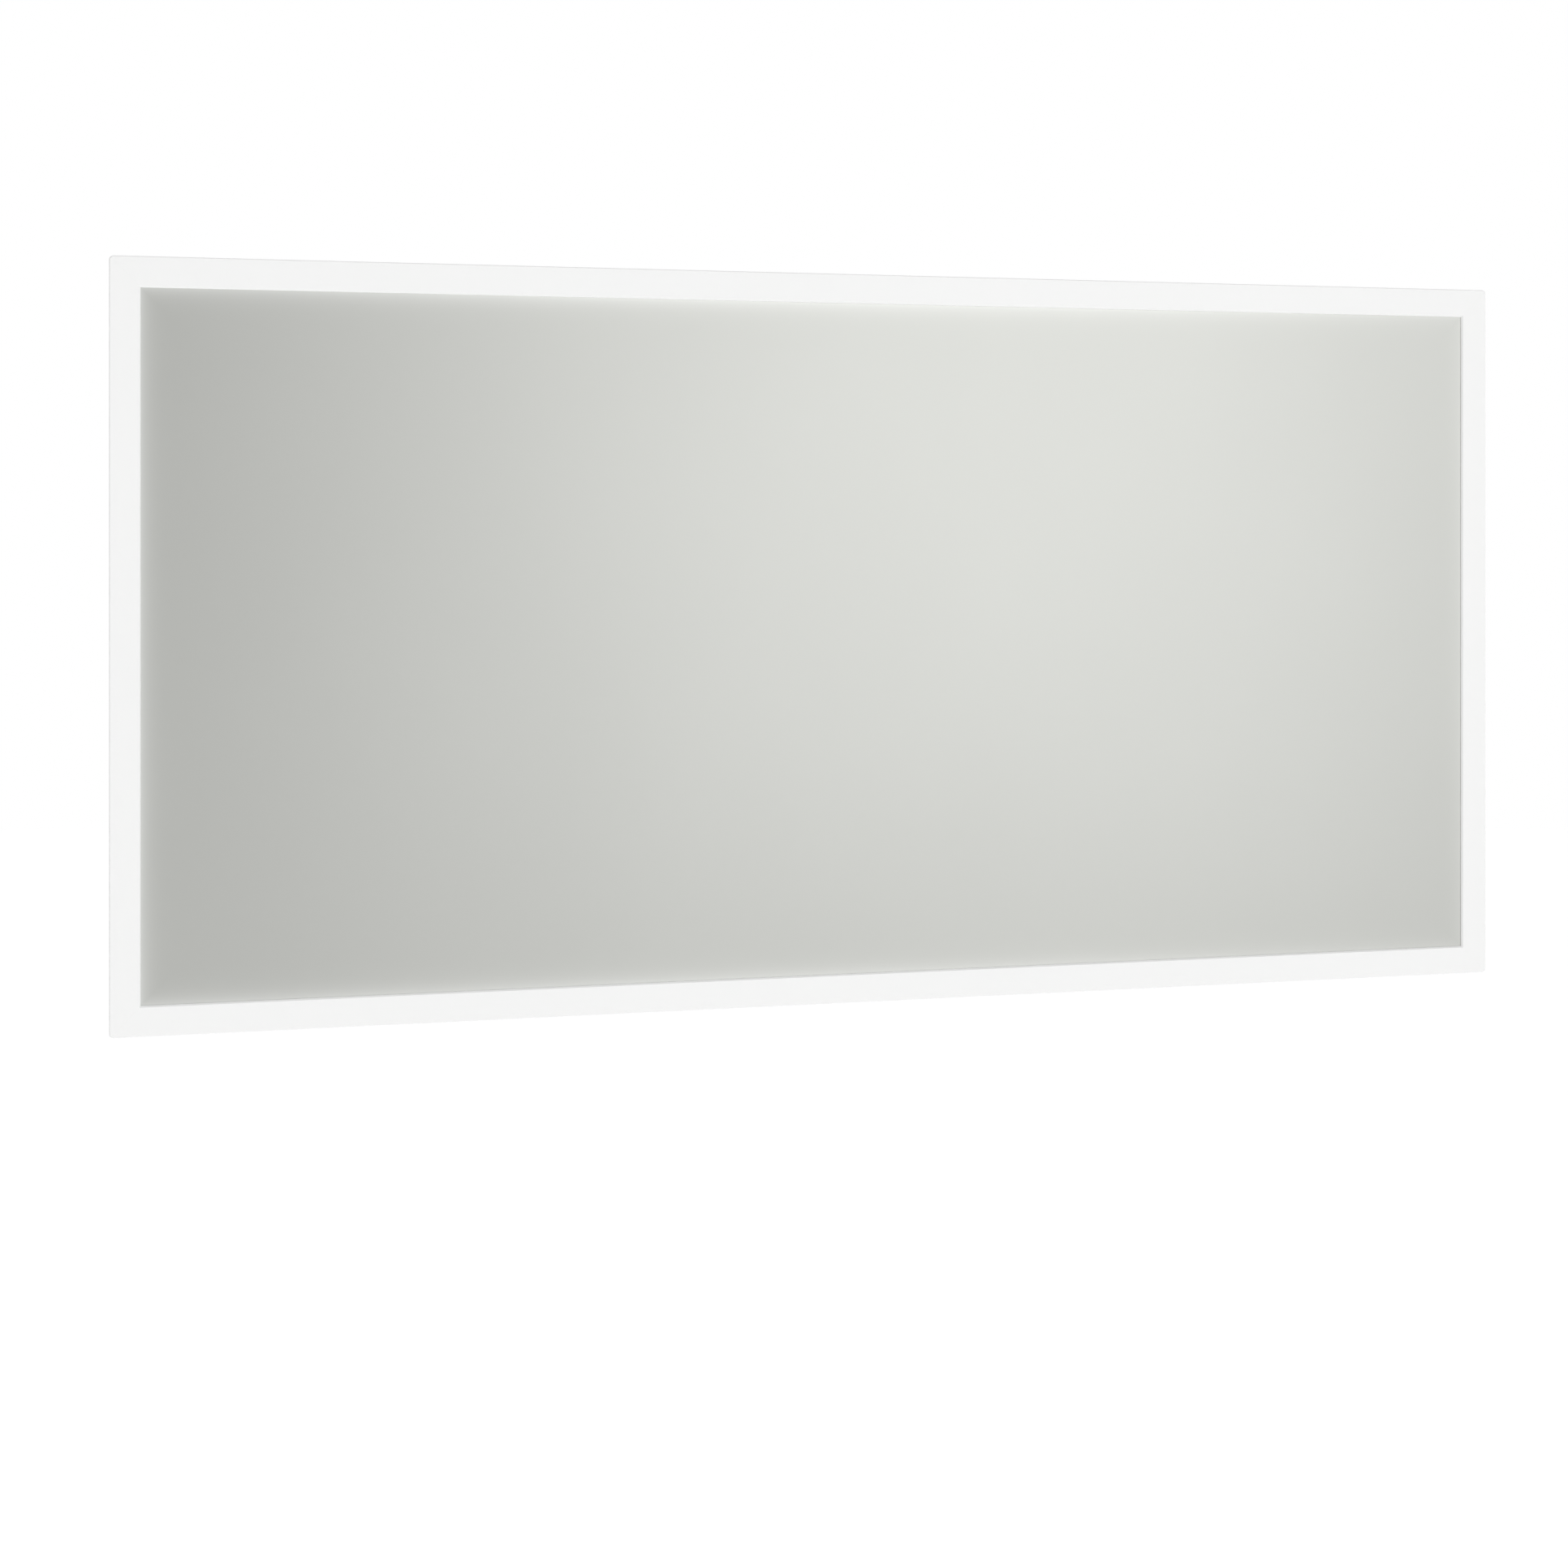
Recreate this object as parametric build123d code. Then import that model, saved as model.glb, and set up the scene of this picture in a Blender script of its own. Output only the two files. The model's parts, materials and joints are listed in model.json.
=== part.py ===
from build123d import *
import os

# Slim edge-lit light table, hung upright on a wall rail. Lengths are in millimetres.
# +X runs along the panel's width, +Z is up, and the lit face looks along -Y.
# The origin lies on the wall plane, at the middle of the wall rail's row of screw slots.

# ---- driving dimensions ----
PANEL_W = 1200.0  # width over the front flange
PANEL_H = 600.0  # height over the front flange
PANEL_D = 30.0  # depth of the frame rails
WALL_GAP = 14.0  # from the back cover to the wall
BODY_ABOVE_SLOTS = 65.0  # from the screw slots up to the frame's top wall
BORDER = 24.0  # width of the white front flange
FLANGE_OVERHANG = 5.0  # from the frame's outer walls out to the flange's edge
CORNER_R = 3.5  # outer corner radius of the flange and of the walls
FRAME_T = 1.6  # wall of the frame section
FLANGE_EDGE_R = 0.9  # rounding of the front flange's outer edge
WINDOW_CHAMFER = 1.2  # bevel of its inner edge
SHELF_REACH = 13.6  # from the frame's outer wall to the inner edge of the middle shelf
LIP_REACH = 11.6  # the same, for the rear lip
SHELF_T = 1.5
LIP_T = 1.5

GASKET_T = 0.3
GASKET_W = 7.5
FACE_T = 4.0
DIFFUSER_T = 1.2
GUIDE_T = 5.0
REFLECTOR_T = 0.5
FOAM_T = 3.0
INNER_PLATE_T = 1.0
COVER_T = 0.8

# ---- places that follow from them ----
BODY_W = PANEL_W - 2 * FLANGE_OVERHANG
BODY_H = PANEL_H - 2 * FLANGE_OVERHANG
WINDOW_INSET = BORDER - FLANGE_OVERHANG
TOP = BODY_ABOVE_SLOTS
BOTTOM = TOP - BODY_H
MID_Z = (TOP + BOTTOM) / 2
RIGHT = BODY_W / 2
FRONT_Y = -(WALL_GAP + PANEL_D)
REAR_Y = -WALL_GAP
FLANGE_BACK_Y = FRONT_Y + FRAME_T
FACE_FRONT_Y = FLANGE_BACK_Y + GASKET_T
FACE_BACK_Y = FACE_FRONT_Y + FACE_T
GUIDE_FRONT_Y = FACE_BACK_Y + DIFFUSER_T
GUIDE_BACK_Y = GUIDE_FRONT_Y + GUIDE_T
GUIDE_MID_Y = (GUIDE_FRONT_Y + GUIDE_BACK_Y) / 2
FOAM_FRONT_Y = GUIDE_BACK_Y + REFLECTOR_T
PLATE_FRONT_Y = FOAM_FRONT_Y + FOAM_T
PLATE_BACK_Y = PLATE_FRONT_Y + INNER_PLATE_T
SHELF_BACK_Y = PLATE_BACK_Y + SHELF_T
COVER_FRONT_Y = REAR_Y - COVER_T
LIP_FRONT_Y = COVER_FRONT_Y - LIP_T
BAY_MID_Y = (SHELF_BACK_Y + LIP_FRONT_Y) / 2  # middle of the channel between shelf and lip

# ---- small parts ----
FACE_INSET = 3.0
DIFFUSER_INSET = 5.0
GUIDE_INSET_X = 3.6
GUIDE_INSET_Z = 4.6
TAPE_T = 0.3
LED_BOARD_T = 1.2
LED_BOARD_W = 7.0
LED_BOARD_END_X = 544.0
LED_BOARD_JOINT = 2.0
LED_COUNT = 72
LED_PITCH = 15.0
LED_SIZE = (3.5, 2.8, 0.8)
LEAD_R = 1.2
LEAD_X = 550.0  # the two strip leads leave the light chamber here
NOTCH_W = 5.0
NOTCH_DEPTH = 4.0
KEY_LEG = 38.0
KEY_W = 8.0
KEY_SCREW_BACK = 9.0  # from the end of a key's leg back to its screw
KEY_CORNER_CUT = 2.5
SLIP = 0.1  # clearance of a piece that slides into its place
HOLE_SLIP = 0.2  # radial gap between a screw and its clearance hole
THREAD_SLIP = 0.05  # radial gap between a screw and its tapped hole
THROUGH = 1.0  # how far a cutting shape runs on past the surface it cuts
TOLERANCE = 1e-4  # for finding an edge by its place

RAIL_T = 2.0
RAIL_LENGTH = 700.0
WALL_SLOT_X = (-300.0, -100.0, 100.0, 300.0)
WALL_SLOT_LENGTH = 12.0
WALL_SLOT_W = 5.5
HOOK_GAP = 6.0  # from the wall to the upstanding hook
HOOK_TOP = 26.0
HOOK_BOTTOM = 10.0
HANGER_SCREW_X = (-310.0, -155.0, 0.0, 155.0, 310.0)
HANGER_SCREW_Z = 41.0
HANGER_SCREW_R = 2.5

SWITCH_Z = -390.0
DIMMER_Z = -430.0
JACK_Z = -470.0
SWITCH_DEPTH = 15.0
SWITCH_HALF = (4.2, 8.9)  # half width and half height of the switch housing
BLADE_LENGTH = 4.0
BUSH_R = 3.0  # threaded bush of the dimmer
JACK_R = 4.0  # threaded barrel of the power inlet
ROCKER_REST_TILT = 8.0
ROCKER_PIVOT_X = RIGHT - 1.5
BOARD_X = (330.0, 530.0)
BOARD_Z = (-428.0, -372.0)
BOARD_MID_Z = sum(BOARD_Z) / 2
STRIP_TERMINAL_X = 500.0  # the terminals that the strip leads run to
JACK_TERMINAL_Z = -410.0
BOARD_T = 1.6
BOARD_SCREW_R = 1.5
STANDOFF_H = 3.0
STUB_R = 2.05  # the end of a pillar clinched into the inner plate
BOARD_FRONT_Y = PLATE_BACK_Y + STANDOFF_H
BOARD_BACK_Y = BOARD_FRONT_Y + BOARD_T


# ---- helpers ----
def block(x, y, z):
    """A box from its (low, high) pairs along X, Y and Z."""
    size = [high - low for low, high in (x, y, z)]
    middle = [(low + high) / 2 for low, high in (x, y, z)]
    return Pos(*middle) * Box(*size)


def slab(inset_x, inset_z, front, back, radius=0.0):
    """A sheet parallel to the wall, its outline moved in from the frame's outer walls."""
    width, height = BODY_W - 2 * inset_x, BODY_H - 2 * inset_z
    outline = RectangleRounded(width, height, radius) if radius else Rectangle(width, height)
    plane = Plane((0, back, MID_Z), x_dir=(1, 0, 0), z_dir=(0, -1, 0))
    return extrude(plane * outline, back - front)


def band(outer, inner, front, back, outer_radius=0.0, inner_radius=0.0):
    """A closed ring between two insets from the frame's outer walls."""
    hole = slab(inner, inner, front - THROUGH, back + THROUGH, inner_radius)
    return slab(outer, outer, front, back, outer_radius) - hole


def rod(radius, start, end):
    """A cylinder along one axis, from start to end."""
    line = Vector(*end) - Vector(*start)
    return extrude(Plane(start, z_dir=line) * Circle(radius), line.length)


def along_rear(shape, x, z, y):
    """Stands a shape that points along +Z on the plane at y, pointing away from the lit face."""
    return Pos(x, y, z) * Rot(-90, 0, 0) * shape


def pan_screw(shank_r, length, head_r, head_h):
    """A pan-head screw with a cross recess, its head above z = 0."""
    head = Cylinder(head_r, head_h, align=(Align.CENTER, Align.CENTER, Align.MIN))
    head = fillet(head.edges().sort_by(Axis.Z)[-1], head_h * HEAD_ROUNDING)
    head -= Pos(0, 0, head_h) * cross_recess(head_r, head_h)
    shank = Pos(0, 0, -length) * Cylinder(shank_r, length, align=(Align.CENTER, Align.CENTER, Align.MIN))
    return head + shank


def flat_screw(shank_r, length, head_r, head_h):
    """A countersunk screw with a cross recess, its head's face at z = 0."""
    head = Pos(0, 0, -head_h) * Cone(shank_r, head_r, head_h, align=(Align.CENTER, Align.CENTER, Align.MIN))
    shank = Pos(0, 0, -length) * Cylinder(shank_r, length, align=(Align.CENTER, Align.CENTER, Align.MIN))
    return head + shank - cross_recess(head_r, head_h)


def cross_recess(head_r, head_h):
    """The cutter of a screw's cross recess, half as deep as the head is high."""
    arm = Box(head_r * RECESS_LENGTH, head_r * RECESS_WIDTH, head_h)
    return arm + Rot(0, 0, 90) * arm


def hex_nut(across_flats, thickness, bore_r):
    """A hexagon nut on z = 0, with two flats square to Y."""
    nut = extrude(RegularPolygon(across_flats / 2, 6, major_radius=False), thickness)
    return nut - Cylinder(bore_r, thickness * 3)


def lead(points, radii):
    """A round lead along straight runs joined by tangent arcs."""
    path = FilletPolyline(*points, radius=radii)
    start = Plane(origin=path @ 0, z_dir=path % 0)
    return sweep(start * Circle(LEAD_R), path=path)


def mirrored_down(shape):
    """The same piece on the bottom rail as on the top rail."""
    return mirror(shape, about=Plane.XY.offset(MID_Z))


def across_bay(half):
    """The Y extent of a piece centred in the channel between shelf and lip."""
    return (BAY_MID_Y - half, BAY_MID_Y + half)


# ---- screw places ----
def cover_screw_places():
    """(x, z) of the screws round the back cover."""
    inset = 7.0
    places = []
    for x in (-540.0, -324.0, -108.0, 108.0, 324.0, 540.0):
        places += [(x, TOP - inset), (x, BOTTOM + inset)]
    for z in (MID_Z - 120, MID_Z, MID_Z + 120):
        places += [(-RIGHT + inset, z), (RIGHT - inset, z)]
    return places


def key_screw_places():
    """(x, z) of the two screws in each corner key."""
    depth = FRAME_T + SLIP + KEY_W / 2
    far = FRAME_T + KEY_LEG - KEY_SCREW_BACK
    places = []
    for side in (-1, 1):
        for edge, inward in ((TOP, -1), (BOTTOM, 1)):
            places.append((side * (RIGHT - far), edge + inward * depth))
            places.append((side * (RIGHT - depth), edge + inward * far))
    return places


HEAD_ROUNDING = 0.45  # of a pan head's edge, per height of the head
RECESS_LENGTH = 1.1  # of a cross recess, per radius of the head
RECESS_WIDTH = 0.26
COVER_SCREWS = cover_screw_places()
KEY_SCREWS = key_screw_places()
COVER_SCREW_R = 1.5
COVER_INSET = FRAME_T + 0.3
KEY_SCREW_R = 2.0
KEY_HEAD_R = 3.7
FEET = [(x, z) for x in (-535.0, 535.0) for z in (TOP - 40.0, BOTTOM + 40.0)]
FOOT_SCREW_R = 2.0
FOOT_WEB = 5.0  # rubber left under the head of a foot's screw
FOOT_NUT_T = 3.0


# ---- frame ----
def frame_ring():
    """The closed frame before it is mitred: flange, wall, middle shelf and rear lip."""
    inside_r = CORNER_R - FRAME_T
    wall = band(0, FRAME_T, FRONT_Y, REAR_Y, CORNER_R, inside_r)
    flange = band(-FLANGE_OVERHANG, WINDOW_INSET, FRONT_Y, FLANGE_BACK_Y, CORNER_R)
    shelf = band(FRAME_T / 2, SHELF_REACH, PLATE_BACK_Y, SHELF_BACK_Y, inside_r)
    lip = band(FRAME_T / 2, LIP_REACH, LIP_FRONT_Y, COVER_FRONT_Y, inside_r)
    ring = wall + flange + shelf + lip
    ring = fillet(front_edges(ring, of_window=False), FLANGE_EDGE_R)
    return chamfer(front_edges(ring, of_window=True), WINDOW_CHAMFER)


def front_edges(ring, of_window):
    """The edges on the frame's front plane, either round its window or round its outside."""
    found = []
    for edge in ring.edges():
        centre = edge.center()
        in_width = abs(centre.X) < RIGHT - WINDOW_INSET + SLIP
        in_height = abs(centre.Z - MID_Z) < BODY_H / 2 - WINDOW_INSET + SLIP
        if abs(centre.Y - FRONT_Y) < TOLERANCE and (in_width and in_height) == of_window:
            found.append(edge)
    return found


def mitre_wedges():
    """A prism for each side of the frame, bounded by the 45 degree mitre planes."""
    over = 2 * FLANGE_OVERHANG
    half = BODY_H / 2
    corner = RIGHT + over
    inner = RIGHT - half
    outlines = {
        "top": [(-corner, half + over), (corner, half + over), (inner, 0), (-inner, 0)],
        "bottom": [(-inner, 0), (inner, 0), (corner, -half - over), (-corner, -half - over)],
        "left": [(-corner, half + over), (-inner, 0), (-corner, -half - over)],
        "right": [(corner, half + over), (inner, 0), (corner, -half - over)],
    }
    plane = Plane((0, REAR_Y + over, MID_Z), x_dir=(1, 0, 0), z_dir=(0, -1, 0))
    return {
        side: extrude(plane * make_face(Polyline(*points, close=True)), PANEL_D + 2 * over)
        for side, points in outlines.items()
    }


def frame_rails():
    """The four mitred rails, with their screw holes, lead notches and control cut-outs."""
    ring = frame_ring()
    for x, z in COVER_SCREWS:
        ring -= rod(COVER_SCREW_R + THREAD_SLIP, (x, LIP_FRONT_Y - THROUGH, z), (x, REAR_Y, z))
    sink = Pos(0, 0, -LIP_T / 2) * Cone(KEY_SCREW_R + SLIP, KEY_HEAD_R + SLIP, LIP_T)
    for x, z in KEY_SCREWS:
        ring -= rod(KEY_SCREW_R + SLIP, (x, LIP_FRONT_Y - THROUGH, z), (x, REAR_Y, z))
        ring -= along_rear(sink, x, z, COVER_FRONT_Y)
    for notch in lead_notches():
        ring -= notch
    half_y, half_z = (half + SLIP for half in SWITCH_HALF)
    wall = (RIGHT - FRAME_T - THROUGH, RIGHT + THROUGH)
    ring -= block(wall, across_bay(half_y), (SWITCH_Z - half_z, SWITCH_Z + half_z))
    for radius, z in ((BUSH_R, DIMMER_Z), (JACK_R, JACK_Z)):
        ring -= rod(radius + SLIP, (wall[0], BAY_MID_Y, z), (wall[1], BAY_MID_Y, z))
    return {"frame_rail_" + side: ring & wedge for side, wedge in mitre_wedges().items()}


def lead_notches():
    """Where the two strip leads pass the shelf and the inner plate."""
    x = (LEAD_X - NOTCH_W / 2, LEAD_X + NOTCH_W / 2)
    y = (PLATE_FRONT_Y - THROUGH, SHELF_BACK_Y + THROUGH)
    deep = FRAME_T + NOTCH_DEPTH
    return [block(x, y, (TOP - deep, TOP - FRAME_T)), block(x, y, (BOTTOM + FRAME_T, BOTTOM + deep))]


def corner_keys():
    """L-shaped keys that join the rails inside the channel between shelf and lip."""
    near, far = FRAME_T + SLIP, FRAME_T + KEY_LEG
    y = (SHELF_BACK_Y + SLIP, LIP_FRONT_Y - SLIP)
    keys = []
    for side in (-1, 1):
        for edge, inward in ((TOP, -1), (BOTTOM, 1)):
            xs = sorted((side * (RIGHT - near), side * (RIGHT - far)))
            zs = sorted((edge + inward * near, edge + inward * far))
            key = block(xs, y, zs)
            xs_cut = sorted((side * (RIGHT - near - KEY_W), side * (RIGHT - far - THROUGH)))
            zs_cut = sorted((edge + inward * (near + KEY_W), edge + inward * (far + THROUGH)))
            key -= block(xs_cut, (y[0] - THROUGH, y[1] + THROUGH), zs_cut)
            corner = Vector(side * (RIGHT - near), 0, edge + inward * near)
            outer = [e for e in key.edges().filter_by(Axis.Y) if on_line(e, corner)]
            key = chamfer(outer, KEY_CORNER_CUT)
            for x, z in KEY_SCREWS:
                key -= rod(KEY_SCREW_R + THREAD_SLIP, (x, y[0] - THROUGH, z), (x, y[1] + THROUGH, z))
            keys.append(key)
    return Compound(keys)


def on_line(edge, point):
    """True for an edge along Y that passes the point's X and Z."""
    c = edge.center()
    return abs(c.X - point.X) < TOLERANCE and abs(c.Z - point.Z) < TOLERANCE


def corner_key_screws():
    screw = flat_screw(KEY_SCREW_R, 8.0, KEY_HEAD_R, LIP_T)
    return Compound([along_rear(screw, x, z, COVER_FRONT_Y) for x, z in KEY_SCREWS])


# ---- optical stack, from the front ----
def face_setting_blocks():
    """Rubber blocks that carry the face's edges in the top and bottom rails."""
    half, away = 40.0, 380.0
    low = block((-half, half), (FACE_FRONT_Y, FACE_BACK_Y), (BOTTOM + FRAME_T, BOTTOM + FACE_INSET))
    pair = [Pos(x, 0, 0) * low for x in (-away, away)]
    return Compound(pair + [mirrored_down(p) for p in pair])


def light_guide_stops():
    """Silicone stops that centre the light guide between the side rails."""
    stops, half, pitch = [], 15.0, 180.0
    for side in (-1, 1):
        xs = sorted((side * (RIGHT - FRAME_T), side * (RIGHT - GUIDE_INSET_X)))
        for z in (MID_Z - pitch, MID_Z, MID_Z + pitch):
            stops.append(block(xs, (GUIDE_FRONT_Y, GUIDE_BACK_Y), (z - half, z + half)))
    return Compound(stops)


def inner_plate():
    """Plate that backs the foam and carries the electronics."""
    plate = slab(FRAME_T + 0.4, FRAME_T + 0.4, PLATE_FRONT_Y, PLATE_BACK_Y, 2.0)
    for notch in lead_notches():
        plate -= notch
    for x, z in standoff_places():
        plate -= rod(STUB_R + THREAD_SLIP, (x, PLATE_FRONT_Y - THROUGH, z), (x, PLATE_BACK_Y + THROUGH, z))
    return plate


# ---- light strips ----
def strip_layer(depth_from_wall, thickness):
    """Two half-length strips under the top rail's wall, at a depth from its inner face."""
    high = TOP - FRAME_T - depth_from_wall
    y = (GUIDE_MID_Y - LED_BOARD_W / 2, GUIDE_MID_Y + LED_BOARD_W / 2)
    z = (high - thickness, high)
    gap = LED_BOARD_JOINT / 2
    return Compound([block((gap, LED_BOARD_END_X), y, z), block((-LED_BOARD_END_X, -gap), y, z)])


def led_row():
    """The LED packages on the top strip, facing the edge of the light guide."""
    across, wide, high = LED_SIZE
    top = TOP - FRAME_T - TAPE_T - LED_BOARD_T
    packages = []
    for i in range(LED_COUNT):
        x = (i - (LED_COUNT - 1) / 2) * LED_PITCH
        y = (GUIDE_MID_Y - wide / 2, GUIDE_MID_Y + wide / 2)
        packages.append(block((x - across / 2, x + across / 2), y, (top - high, top)))
    return Compound(packages)


# ---- back ----
RIB_X = 377.0  # middles of the outer two ribs


def swage(x, z, width, height):
    """A raised rib that follows a rounded rectangle, and the hollow behind it."""
    rib_w, rib_h, bend = 9.0, 2.0, 14.0
    rear = Plane((x, REAR_Y, z), x_dir=(-1, 0, 0), z_dir=(0, 1, 0))
    front = Plane((x, COVER_FRONT_Y, z), x_dir=(-1, 0, 0), z_dir=(0, 1, 0))

    def ridge(plane, shrink):
        outer = RectangleRounded(width - 2 * shrink, height - 2 * shrink, bend)
        inner_w, inner_h = width - 2 * rib_w + 2 * shrink, height - 2 * rib_w + 2 * shrink
        inner = RectangleRounded(inner_w, inner_h, bend - rib_w / 2)
        return extrude(plane * (outer - inner), rib_h, taper=35)

    return ridge(rear, 0), ridge(front, 0.6)


def back_cover():
    """Sheet-metal cover with swaged ribs, vents and its screw holes."""
    cover = slab(COVER_INSET, COVER_INSET, COVER_FRONT_Y, REAR_Y, 2.1)
    for x in (-RIB_X, 0.0, RIB_X):
        raised, hollow = swage(x, MID_Z - 25, 350.0, 420.0)
        cover = cover + raised - hollow
    screws = [(x, z, COVER_SCREW_R) for x, z in COVER_SCREWS]
    screws += [(x, z, FOOT_SCREW_R) for x, z in FEET]
    screws += [(x, HANGER_SCREW_Z, HANGER_SCREW_R) for x in HANGER_SCREW_X]
    for x, z, radius in screws:
        cover -= rod(radius + HOLE_SLIP, (x, COVER_FRONT_Y - THROUGH, z), (x, REAR_Y + THROUGH, z))
    return cover - Compound(vent_slots())


def vent_slots():
    """Rows of slots behind the driver board and, for the rising air, high on the cover."""
    slot_w, slot_h, pitch, count = 2.6, 34.0, 8.0, 15
    plane = Plane((0, REAR_Y + THROUGH, 0), x_dir=(-1, 0, 0), z_dir=(0, 1, 0))
    slots = []
    for x in (-RIB_X, RIB_X):
        for z in (-400.0, -110.0):
            for i in range(count):
                across = x + (i - (count - 1) / 2) * pitch
                outline = plane * Pos(-across, z) * SlotOverall(slot_h, slot_w, rotation=90)
                slots.append(extrude(outline, -(COVER_T + 2 * THROUGH)))
    return slots


def cover_screws():
    screw = pan_screw(COVER_SCREW_R, 5.0, 2.8, 1.9)
    return Compound([along_rear(screw, x, z, REAR_Y) for x, z in COVER_SCREWS])


def rubber_feet():
    """Tapered feet that keep the panel plumb on the wall, or lie on a bench."""
    foot = Cone(11.0, 9.5, WALL_GAP, align=(Align.CENTER, Align.CENTER, Align.MIN))
    foot = fillet(foot.edges().sort_by(Axis.Z)[-1], 1.2)
    foot -= Cylinder(FOOT_SCREW_R + HOLE_SLIP, 3 * WALL_GAP)
    foot -= Pos(0, 0, FOOT_WEB) * Cylinder(4.4, WALL_GAP, align=(Align.CENTER, Align.CENTER, Align.MIN))
    return Compound([along_rear(foot, x, z, REAR_Y) for x, z in FEET])


def foot_screws():
    screw = pan_screw(FOOT_SCREW_R, 9.0, 3.8, 2.6)
    return Compound([along_rear(screw, x, z, REAR_Y + FOOT_WEB) for x, z in FEET])


def foot_nuts():
    nut = hex_nut(7.0, FOOT_NUT_T, FOOT_SCREW_R + THREAD_SLIP)
    return Compound([along_rear(nut, x, z, COVER_FRONT_Y - FOOT_NUT_T) for x, z in FEET])


# ---- hanging rails ----
def extruded_rail(points, bend_points, length):
    """A bent strip: its section in the YZ plane, drawn out along X."""
    section = make_face(Polyline(*points, close=True))
    bends = [v for v in section.vertices() if (round(v.X, 3), round(v.Y, 3)) in bend_points]
    section = fillet(bends, 0.8)
    return extrude(Plane.YZ * section, length / 2, both=True)


def wall_rail():
    """Rail screwed to the wall, with an upstanding hook that the panel hangs on."""
    hook_front = -(HOOK_GAP + RAIL_T)
    foot = -16
    points = [
        (0, foot), (0, HOOK_BOTTOM), (-HOOK_GAP, HOOK_BOTTOM), (-HOOK_GAP, HOOK_TOP),
        (hook_front, HOOK_TOP), (hook_front, HOOK_BOTTOM - RAIL_T), (-RAIL_T, HOOK_BOTTOM - RAIL_T),
        (-RAIL_T, foot),
    ]
    rail = extruded_rail(points, {(-HOOK_GAP, HOOK_BOTTOM), (-RAIL_T, HOOK_BOTTOM - RAIL_T)}, RAIL_LENGTH)
    plane = Plane((0, THROUGH, 0), x_dir=(1, 0, 0), z_dir=(0, -1, 0))
    for x in WALL_SLOT_X:
        slot = plane * Pos(x, 0) * SlotOverall(WALL_SLOT_LENGTH, WALL_SLOT_W)
        rail -= extrude(slot, RAIL_T + 2 * THROUGH)
    return rail


def hanger_rail():
    """Rail on the panel's back, whose hook drops behind the wall rail's."""
    hook_back, hook_front = -2.5, -2.5 - RAIL_T
    base_back = REAR_Y + RAIL_T
    web_top = HOOK_TOP + RAIL_T
    top = HANGER_SCREW_Z + 11
    tip = HOOK_BOTTOM + 2
    points = [
        (REAR_Y, top), (base_back, top), (base_back, web_top), (hook_back, web_top),
        (hook_back, tip), (hook_front, tip), (hook_front, HOOK_TOP), (REAR_Y, HOOK_TOP),
    ]
    rail = extruded_rail(points, {(base_back, web_top), (hook_front, HOOK_TOP)}, RAIL_LENGTH)
    for x in HANGER_SCREW_X:
        start, end = ((x, y, HANGER_SCREW_Z) for y in (REAR_Y - THROUGH, base_back + THROUGH))
        rail -= rod(HANGER_SCREW_R + HOLE_SLIP, start, end)
    return rail


def hanger_backing_bar():
    """Tapped steel bar inside the cover that takes the hanger rail's screws."""
    half_x, half_z, thickness = RAIL_LENGTH / 2 - 5, 8.0, 3.0
    y = (COVER_FRONT_Y - thickness, COVER_FRONT_Y)
    bar = block((-half_x, half_x), y, (HANGER_SCREW_Z - half_z, HANGER_SCREW_Z + half_z))
    for x in HANGER_SCREW_X:
        start, end = ((x, place, HANGER_SCREW_Z) for place in (y[0] - THROUGH, y[1] + THROUGH))
        bar -= rod(HANGER_SCREW_R + THREAD_SLIP, start, end)
    return bar


def hanger_screws():
    screw = pan_screw(HANGER_SCREW_R, 7.0, 4.6, 2.6)
    rear = REAR_Y + RAIL_T
    return Compound([along_rear(screw, x, HANGER_SCREW_Z, rear) for x in HANGER_SCREW_X])


# ---- driver board ----
def standoff_places():
    """(x, z) of the pillars under the driver board."""
    xs = (BOARD_X[0] + 6, (BOARD_X[0] + BOARD_X[1]) / 2 - 21, BOARD_X[1] - 48)
    return [(x, z) for x in xs for z in (BOARD_Z[0] + 6, BOARD_Z[1] - 6)]


def driver_board():
    board = block(BOARD_X, (BOARD_FRONT_Y, BOARD_BACK_Y), BOARD_Z)
    board = fillet(board.edges().filter_by(Axis.Y), 2.0)
    for x, z in standoff_places():
        start, end = (x, BOARD_FRONT_Y - THROUGH, z), (x, BOARD_BACK_Y + THROUGH, z)
        board -= rod(BOARD_SCREW_R + HOLE_SLIP, start, end)
    return board


def board_standoffs():
    """Hexagonal pillars clinched into the inner plate."""
    bore_r = BOARD_SCREW_R + THREAD_SLIP
    pillar = hex_nut(5.0, STANDOFF_H, bore_r)
    stub = Cylinder(STUB_R, INNER_PLATE_T, align=(Align.CENTER, Align.CENTER, Align.MAX))
    pillar += stub - Cylinder(bore_r, 3 * STANDOFF_H)
    return Compound([along_rear(pillar, x, z, PLATE_BACK_Y) for x, z in standoff_places()])


def board_screws():
    screw = pan_screw(BOARD_SCREW_R, 4.0, 2.5, 1.6)
    return Compound([along_rear(screw, x, z, BOARD_BACK_Y) for x, z in standoff_places()])


def board_inductors():
    """Two shielded round inductors."""
    coil = fillet(Cylinder(6.5, 5.2, align=(Align.CENTER, Align.CENTER, Align.MIN)).edges(), 0.6)
    return Compound([along_rear(coil, x, BOARD_MID_Z, BOARD_BACK_Y) for x in (384.0, 402.0)])


def board_capacitors():
    """Electrolytic capacitors that lie flat on the board."""
    radius, length = 3.1, 13.0
    cans = []
    for x in (356.0, 364.5, 450.0, 458.5):
        y = BOARD_BACK_Y + radius
        can = rod(radius, (x, y, BOARD_MID_Z - length / 2), (x, y, BOARD_MID_Z + length / 2))
        cans.append(fillet(can.edges(), 0.5))
    return Compound(cans)


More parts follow.
